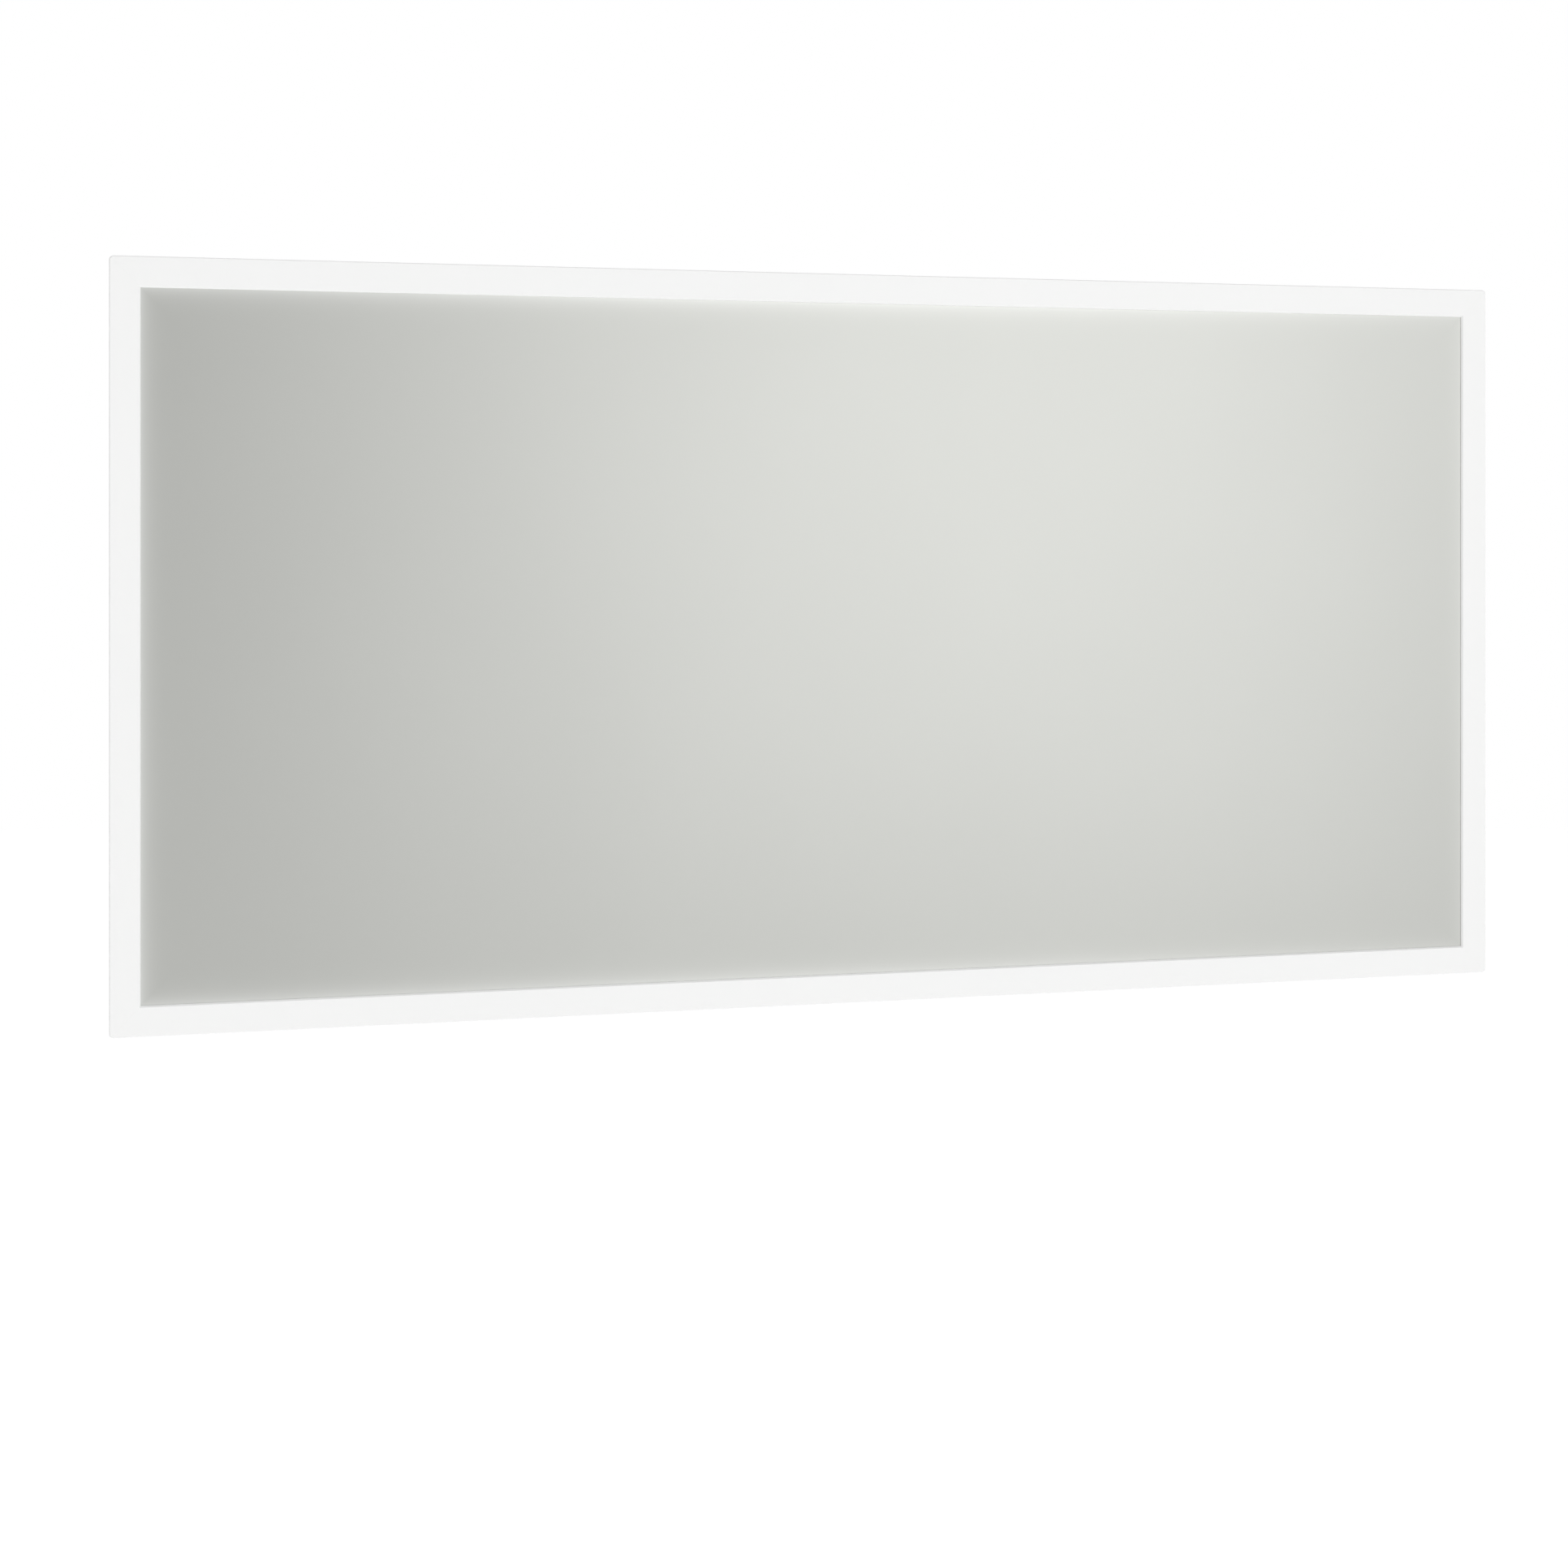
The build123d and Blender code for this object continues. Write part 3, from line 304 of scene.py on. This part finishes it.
def galvanised_steel(name):
    """Zinc-dipped sheet with its crystal spangle."""
    made, tree, shader = start_material(name, (0.62, 0.63, 0.64), 0.4, 1.0)
    place = object_place(tree)
    warped = add(tree, "ShaderNodeVectorMath", {0: place}, operation="ADD")
    wave = add(tree, "ShaderNodeTexNoise", {"Vector": place, "Scale": 300.0, "Detail": 2.0})
    small = add(tree, "ShaderNodeVectorMath", {0: wave.outputs["Color"], "Scale": 3 * MM}, operation="SCALE")
    tree.links.new(small.outputs[0], warped.inputs[1])
    crystal = cells(tree, warped.outputs[0], 7 * MM)
    shade = add(tree, "ShaderNodeSeparateColor", {0: crystal.outputs["Color"]}).outputs[0]
    frost = noise(tree, place, 0.06, 4.0)
    flecks = mixed(tree, shade, (0.50, 0.515, 0.53), (0.71, 0.72, 0.72))
    paint(tree, shader, mixed(tree, spread(tree, frost, 0.0, 0.35), flecks, (0.66, 0.67, 0.67)))
    roughen(tree, shader, spread(tree, shade, 0.30, 0.52, 0.0, 1.0))
    bump(tree, shader, shade, 0.03 * MM, 0.5)
    return made


def brushed_metal(name, tone, grain_axis):
    """Metal with drawn grain along one axis."""
    smooth, rough = 0.24, 0.40
    made, tree, shader = start_material(name, tone, smooth, 1.0)
    place = object_place(tree)
    scale = [1.0, 1.0, 1.0]
    scale[grain_axis] = 0.03
    streak = noise(tree, stretched(tree, place, scale), 0.5 * MM, 4.0)
    patch = noise(tree, place, 0.03, 3.0)
    paint(tree, shader, mixed(tree, patch, scaled(tone, 0.92), scaled(tone, 1.04)))
    roughen(tree, shader, spread(tree, streak, smooth, rough))
    bump(tree, shader, streak, 0.02 * MM, 0.35)
    return made


def zinc_screws(name):
    """Bright zinc plate with a slight blue and straw cast."""
    made, tree, shader = start_material(name, (0.66, 0.67, 0.68), 0.3, 1.0)
    place = object_place(tree)
    cast = noise(tree, place, 4 * MM, 3.0)
    paint(tree, shader, mixed(tree, spread(tree, cast, 0, 1), (0.60, 0.63, 0.68), (0.74, 0.72, 0.66)))
    turning = noise(tree, place, 0.25 * MM, 2.0)
    roughen(tree, shader, spread(tree, turning, 0.22, 0.42))
    bump(tree, shader, turning, 0.01 * MM, 0.4)
    return made


def moulded_plastic(name, tone, grain=0.45 * MM, rough=(0.42, 0.60)):
    """Injection-moulded plastic with a fine spark-eroded texture."""
    made, tree, shader = start_material(name, tone, rough[0])
    place = object_place(tree)
    texture = noise(tree, place, grain, 3.0)
    worn = noise(tree, place, 0.012, 4.0)
    paint(tree, shader, mixed(tree, worn, scaled(tone, 0.85), scaled(tone, 1.12)))
    roughen(tree, shader, spread(tree, texture, *rough))
    bump(tree, shader, texture, 0.03 * MM, 0.5)
    return made


def soft_rubber(name, tone):
    """Moulded rubber with a bloom of dust."""
    made, tree, shader = start_material(name, tone, 0.75)
    place = object_place(tree)
    bloom = spread(tree, noise(tree, place, 6 * MM, 5.0), 0.0, 0.25)
    paint(tree, shader, mixed(tree, bloom, tone, mean_with_grey(tone)))
    grain = noise(tree, place, 0.5 * MM, 3.0)
    roughen(tree, shader, spread(tree, grain, 0.68, 0.88))
    bump(tree, shader, grain, 0.04 * MM, 0.5)
    return made


def mean_with_grey(tone):
    """Halfway from a tone to mid grey."""
    return tuple((c + 0.35) / 2 for c in tone)


def white_film(name, tone):
    """Matt polymer film, with a very fine haze."""
    made, tree, shader = start_material(name, tone, 0.6)
    place = object_place(tree)
    haze = noise(tree, place, 0.25 * MM, 2.0)
    paint(tree, shader, mixed(tree, noise(tree, place, 0.05), scaled(tone, 0.97), tone))
    roughen(tree, shader, spread(tree, haze, 0.55, 0.7))
    bump(tree, shader, haze, 0.01 * MM, 0.3)
    return made


def guide_acrylic(name):
    """Clear acrylic over a printed grid of white dots, which look pale in the sheet's depth."""
    deep, dot = (0.70, 0.80, 0.80), (0.93, 0.95, 0.94)
    made, tree, shader = start_material(name, deep, 0.08)
    place = object_place(tree)
    pitch = 2.0 * MM
    parts = add(tree, "ShaderNodeSeparateXYZ", {0: place})
    reach = []
    for axis in ("X", "Z"):
        wrapped = maths(tree, "PINGPONG", parts.outputs[axis], pitch / 2)
        reach.append(maths(tree, "POWER", wrapped, 2.0))
    radius = maths(tree, "SQRT", maths(tree, "ADD", *reach))
    paint(tree, shader, mixed(tree, below(tree, radius, 0.5 * MM, 0.1 * MM), deep, dot))
    bump(tree, shader, noise(tree, place, 0.02), 0.05 * MM, 0.1)
    return made


def cell_foam(name):
    """Closed-cell foam, grey and pitted, with painted shade darkening the bottom of each pit."""
    made, tree, shader = start_material(name, (0.32, 0.32, 0.33), 0.9)
    place = object_place(tree)
    pits = cells(tree, place, 0.9 * MM).outputs["Distance"]
    wall, pit_shade = (0.40, 0.40, 0.41), (0.20, 0.20, 0.21)
    # painted shade: the darker colour goes into the low centre of each pit
    paint(tree, shader, mixed(tree, spread(tree, pits, 0, 1, 0.0, 0.8), pit_shade, wall))
    bump(tree, shader, pits, 0.3 * MM, 0.7)
    return made


def green_board(name):
    """Solder mask over copper tracks, with tinned vias."""
    mask, over_copper, tin = (0.015, 0.16, 0.07), (0.03, 0.27, 0.11), (0.72, 0.73, 0.70)
    made, tree, shader = start_material(name, mask, 0.28)
    place = object_place(tree)
    block = add(tree, "ShaderNodeTexVoronoi", {"Vector": place, "Scale": 1 / (5 * MM)}, distance="MANHATTAN")
    levels = maths(tree, "PINGPONG", block.outputs["Distance"], 0.12)
    track = below(tree, levels, 0.05, 0.01)
    paint_under = mixed(tree, track, mask, over_copper)
    via = below(tree, cells(tree, place, 7 * MM).outputs["Distance"], 0.06, 0.01)
    paint(tree, shader, mixed(tree, via, paint_under, tin))
    bump(tree, shader, track, 0.035 * MM, 0.8)
    return made


def strip_board(name):
    """White solder mask with faint copper lands under it."""
    white, land = (0.90, 0.90, 0.88), (0.80, 0.77, 0.68)
    made, tree, shader = start_material(name, white, 0.35)
    place = object_place(tree)
    along = add(tree, "ShaderNodeSeparateXYZ", {0: place}).outputs["X"]
    gap = maths(tree, "PINGPONG", along, 7.5 * MM)
    lands = below(tree, gap, 2.4 * MM, 0.2 * MM)
    paint(tree, shader, mixed(tree, maths(tree, "MULTIPLY", lands, 0.6), white, land))
    bump(tree, shader, lands, 0.035 * MM, 0.6)
    return made


def glossy_body(name, tone, rough, metallic=0.0):
    """A smooth small part, with faint mottling and fine scratches."""
    made, tree, shader = start_material(name, tone, rough, metallic)
    place = object_place(tree)
    mottle = noise(tree, place, 3 * MM, 3.0)
    paint(tree, shader, mixed(tree, mottle, scaled(tone, 0.9), scaled(tone, 1.08)))
    fine = noise(tree, place, 0.3 * MM, 3.0)
    roughen(tree, shader, spread(tree, fine, rough * 0.8, rough * 1.3))
    bump(tree, shader, fine, 0.008 * MM, 0.4)
    return made


def capacitor_sleeve(name):
    """Dark shrunk sleeve with a pale stripe down each can."""
    sleeve, stripe = (0.03, 0.04, 0.09), (0.62, 0.64, 0.66)
    made, tree, shader = start_material(name, sleeve, 0.3)
    place = object_place(tree)
    along = add(tree, "ShaderNodeSeparateXYZ", {0: place}).outputs["X"]
    band = below(tree, maths(tree, "PINGPONG", along, 4.25 * MM), 0.8 * MM, 0.1 * MM)
    paint(tree, shader, mixed(tree, band, sleeve, stripe))
    bump(tree, shader, noise(tree, place, 1.2 * MM), 0.02 * MM, 0.4)
    return made


MATERIALS = {
    "white_coat": white_coat,
    "opal_face": opal_face,
    "seal_rubber": lambda name: soft_rubber(name, (0.80, 0.80, 0.78)),
    "opal_film": lambda name: white_film(name, (0.90, 0.90, 0.89)),
    "guide_acrylic": guide_acrylic,
    "grey_foam": cell_foam,
    "mill_aluminium": lambda name: brushed_metal(name, (0.76, 0.77, 0.78), 0),
    "thermal_tape": lambda name: white_film(name, (0.84, 0.84, 0.80)),
    "strip_board": strip_board,
    "led_phosphor": lambda name: glossy_body(name, (0.90, 0.89, 0.84), 0.3),
    "cover_coat": cover_coat,
    "zinc_screws": zinc_screws,
    "black_rubber": lambda name: soft_rubber(name, (0.025, 0.025, 0.026)),
    "galvanised_steel": galvanised_steel,
    "green_board": green_board,
    "brass_pillars": lambda name: brushed_metal(name, (0.74, 0.66, 0.45), 1),
    "ferrite": lambda name: moulded_plastic(name, (0.06, 0.06, 0.065), 0.3 * MM),
    "can_sleeve": capacitor_sleeve,
    "chip_epoxy": lambda name: moulded_plastic(name, (0.03, 0.03, 0.032), 0.2 * MM),
    "terminal_plastic": lambda name: moulded_plastic(name, (0.05, 0.30, 0.14), 0.4 * MM, (0.35, 0.5)),
    "lead_jacket": lambda name: moulded_plastic(name, (0.82, 0.82, 0.81), 0.6 * MM, (0.40, 0.52)),
    "clip_nylon": lambda name: moulded_plastic(name, (0.83, 0.82, 0.76), 0.5 * MM, (0.36, 0.5)),
    "black_plastic": lambda name: moulded_plastic(name, (0.022, 0.022, 0.024)),
    "contact_metal": lambda name: glossy_body(name, (0.78, 0.77, 0.74), 0.18, 1.0),
}


def finish_cad_nodes():
    """Gives each CAD node the finish of its material slot."""
    made = {slot: make(slot) for slot, make in MATERIALS.items()}
    for part in frame["record"]["subparts"]:
        mesh = frame["nodes"][part["node"]].data
        mesh.materials.clear()
        mesh.materials.append(made[part["material_slot"]])


# ---- added pieces ----
def new_piece(name, form, finish, body):
    """Turns a bmesh into a piece that rides on a body."""
    mesh = bpy.data.meshes.new(name)
    form.to_mesh(mesh)
    form.free()
    mesh.materials.append(finish)
    piece = bpy.data.objects.new(name, mesh)
    bpy.context.scene.collection.objects.link(piece)
    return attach(piece, body)


def add_disc(form, centre, normal, radius, height, dome=0.0):
    """A thin disc, or a low dome, that stands on centre and points along normal."""
    segments = 20
    rings = 4 if dome else 1
    upright = Vector(normal).to_track_quat("Z", "Y").to_matrix().to_4x4()
    place = Matrix.Translation(centre) @ upright
    rows = []
    for ring in range(rings + 1):
        share = ring / rings
        rise = height + dome * math.sin(share * math.pi / 2)
        reach = radius * (math.cos(share * math.pi / 2) if dome else 1 - share)
        if ring == rings:
            rows.append([form.verts.new(place @ Vector((0, 0, rise)))])
            continue
        row = []
        for i in range(segments):
            turn = 2 * math.pi * i / segments
            point = Vector((reach * math.cos(turn), reach * math.sin(turn), rise))
            row.append(form.verts.new(place @ point))
        rows.append(row)
    foot = []
    for vert in rows[0]:
        local = place.inverted() @ vert.co
        foot.append(form.verts.new(place @ Vector((local.x, local.y, 0))))
    join_rows(form, foot, rows[0])
    for low, high in zip(rows, rows[1:]):
        join_rows(form, low, high)
    form.faces.new(list(reversed(foot)))


def join_rows(form, low, high):
    """Faces between two closed rows of vertices; high may be a single vertex."""
    count = len(low)
    for i in range(count):
        after = (i + 1) % count
        if len(high) == 1:
            form.faces.new((low[i], low[after], high[0]))
        else:
            form.faces.new((low[i], low[after], high[after], high[i]))


LED_COUNT = 72
LED_HALF = 1.75 * MM
PHOSPHOR_R = 1.05 * MM


def led_windows(finish):
    """The yellow phosphor window on each LED of both strips."""
    for node, name in (("leds_top", "led_windows_top"), ("leds_bottom", "led_windows_bottom")):
        low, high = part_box(node)
        facing = -1 if node == "leds_top" else 1
        edge = low.z if facing < 0 else high.z
        form = bmesh.new()
        half = (high.x - low.x) / 2 - LED_HALF
        for i in range(LED_COUNT):
            x = -half + 2 * half * i / (LED_COUNT - 1)
            centre = (x, (low.y + high.y) / 2, edge)
            add_disc(form, centre, (0, 0, facing), PHOSPHOR_R, 0.02 * MM, dome=0.08 * MM)
        new_piece(name, form, finish, "panel")


INK = 0.03 * MM  # thickness of a printed mark


def add_loops(form, place, height, outer, inner=None):
    """A low plate between two outlines, or within the outer one, standing on a placed plane."""
    def row(outline, rise):
        return [form.verts.new(place @ Vector((u, v, rise))) for u, v in outline]

    low, high = row(outer, 0), row(outer, height)
    join_rows(form, low, high)
    if inner is None:
        form.faces.new(high)
        form.faces.new(list(reversed(low)))
        return
    inner_low, inner_high = row(inner, 0), row(inner, height)
    join_rows(form, inner_high, inner_low)
    join_rows(form, high, inner_high)
    join_rows(form, inner_low, low)


def circle(radius):
    """Points round a circle."""
    segments = 32
    turns = [2 * math.pi * i / segments for i in range(segments)]
    return [(radius * math.cos(t), radius * math.sin(t)) for t in turns]


def lozenge(half_width, half_length):
    """Points round a bar along its second axis, with round ends."""
    straight = half_length - half_width
    return [(u, v + math.copysign(straight, v)) for u, v in circle(half_width)]


def facing_out(x, y, z, lean=0.0):
    """A plane at a place whose normal is +X, leaned about Y; its second axis points up."""
    return Matrix.Translation((x, y, z)) @ Matrix.Rotation(lean, 4, "Y") @ Matrix(
        ((0, 0, 1, 0), (1, 0, 0, 0), (0, 1, 0, 0), (0, 0, 0, 1))
    )


def rocker_marks(finish):
    """The off ring and the on bar, printed on the two halves of the rocker's face."""
    low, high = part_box("switch_rocker")
    under_middle = 0.36 * MM  # the valley between the halves
    sunk = 0.525 * MM  # from the bezel's face in to the flush half
    y = (low.y + high.y) / 2
    valley_z = (low.z + high.z) / 2 - under_middle
    flush_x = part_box("switch_body")[1].x - sunk
    drop, rise, lean = 3.3 * MM, 3.4 * MM, math.radians(16.0)
    form = bmesh.new()
    flush_half = facing_out(flush_x, y, valley_z - drop)
    add_loops(form, flush_half, INK, circle(1.1 * MM), circle(0.75 * MM))
    proud_half = facing_out(flush_x + rise * math.tan(lean), y, valley_z + rise, lean)
    add_loops(form, proud_half, INK, lozenge(0.2 * MM, 1.2 * MM))
    new_piece("rocker_marks", form, finish, "rocker")


def knob_pointer(finish):
    """White paint in the floor of the knob's pointer groove."""
    low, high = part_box("dimmer_knob")
    y, z = (low.y + high.y) / 2, (low.z + high.z) / 2
    groove_depth, paint_depth, above_axis = 0.5 * MM, 0.2 * MM, 3.6 * MM
    form = bmesh.new()
    groove_floor = facing_out(high.x - groove_depth, y, z + above_axis)
    add_loops(form, groove_floor, paint_depth, lozenge(0.34 * MM, 1.9 * MM))
    new_piece("knob_pointer", form, finish, "dimmer")


def dimmer_scale(finish):
    """Printed dots round the knob that grow from dim to bright."""
    low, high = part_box("dimmer_knob")
    y, z = (low.y + high.y) / 2, (low.z + high.z) / 2
    wall_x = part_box("dimmer_nut")[0].x
    reach, dots, step = 7.6 * MM, 11, math.radians(22.5)
    first_r, growth = 0.25 * MM, 0.04 * MM
    form = bmesh.new()
    for i in range(dots):
        turn = step * i
        centre = (wall_x, y - reach * math.sin(turn), z + reach * math.cos(turn))
        add_disc(form, centre, (1, 0, 0), first_r + growth * i, INK)
    new_piece("dimmer_scale", form, finish, "panel")


# ---- the scene ----
PANEL_AIM = (0, 0, -0.2)

# The camera, the surrounding light, three of the soft boxes and the two finishes on the front have
# values fitted to one view of the panel. They reproduce its greys, and aren't measured properties.
make_camera()
make_floor()
make_world(backdrop=1.0, ambient=0.399, slope=(0.455, 0.0, 0.261), least=0.32, behind=0.75)
soft_box("over_light", (0.3, -0.9, 2.6), PANEL_AIM, width=3.0, height=2.4, radiance=0.125)
soft_box("right_light", (1.367, -3.05, 0.338), (0.1, 0, -0.2), width=1.94, height=2.319, radiance=1.791)
soft_box("left_light", (-2.4, -2.3, 0.3), (-0.6, 0, -0.2), width=1.2, height=1.2, radiance=3.358)
soft_box("rear_light", (-1.6, 2.6, 1.5), PANEL_AIM, width=1.4, height=1.4, radiance=2.2)

finish_cad_nodes()
phosphor = glossy_body("phosphor", (0.92, 0.72, 0.18), 0.35)
led_windows(phosphor)
white_ink = white_film("white_ink", (0.86, 0.86, 0.84))
rocker_marks(white_ink)
knob_pointer(white_ink)
dimmer_scale(moulded_plastic("dark_ink", (0.10, 0.10, 0.11), 0.2 * MM))

bpy.context.scene.view_settings.view_transform = "Standard"
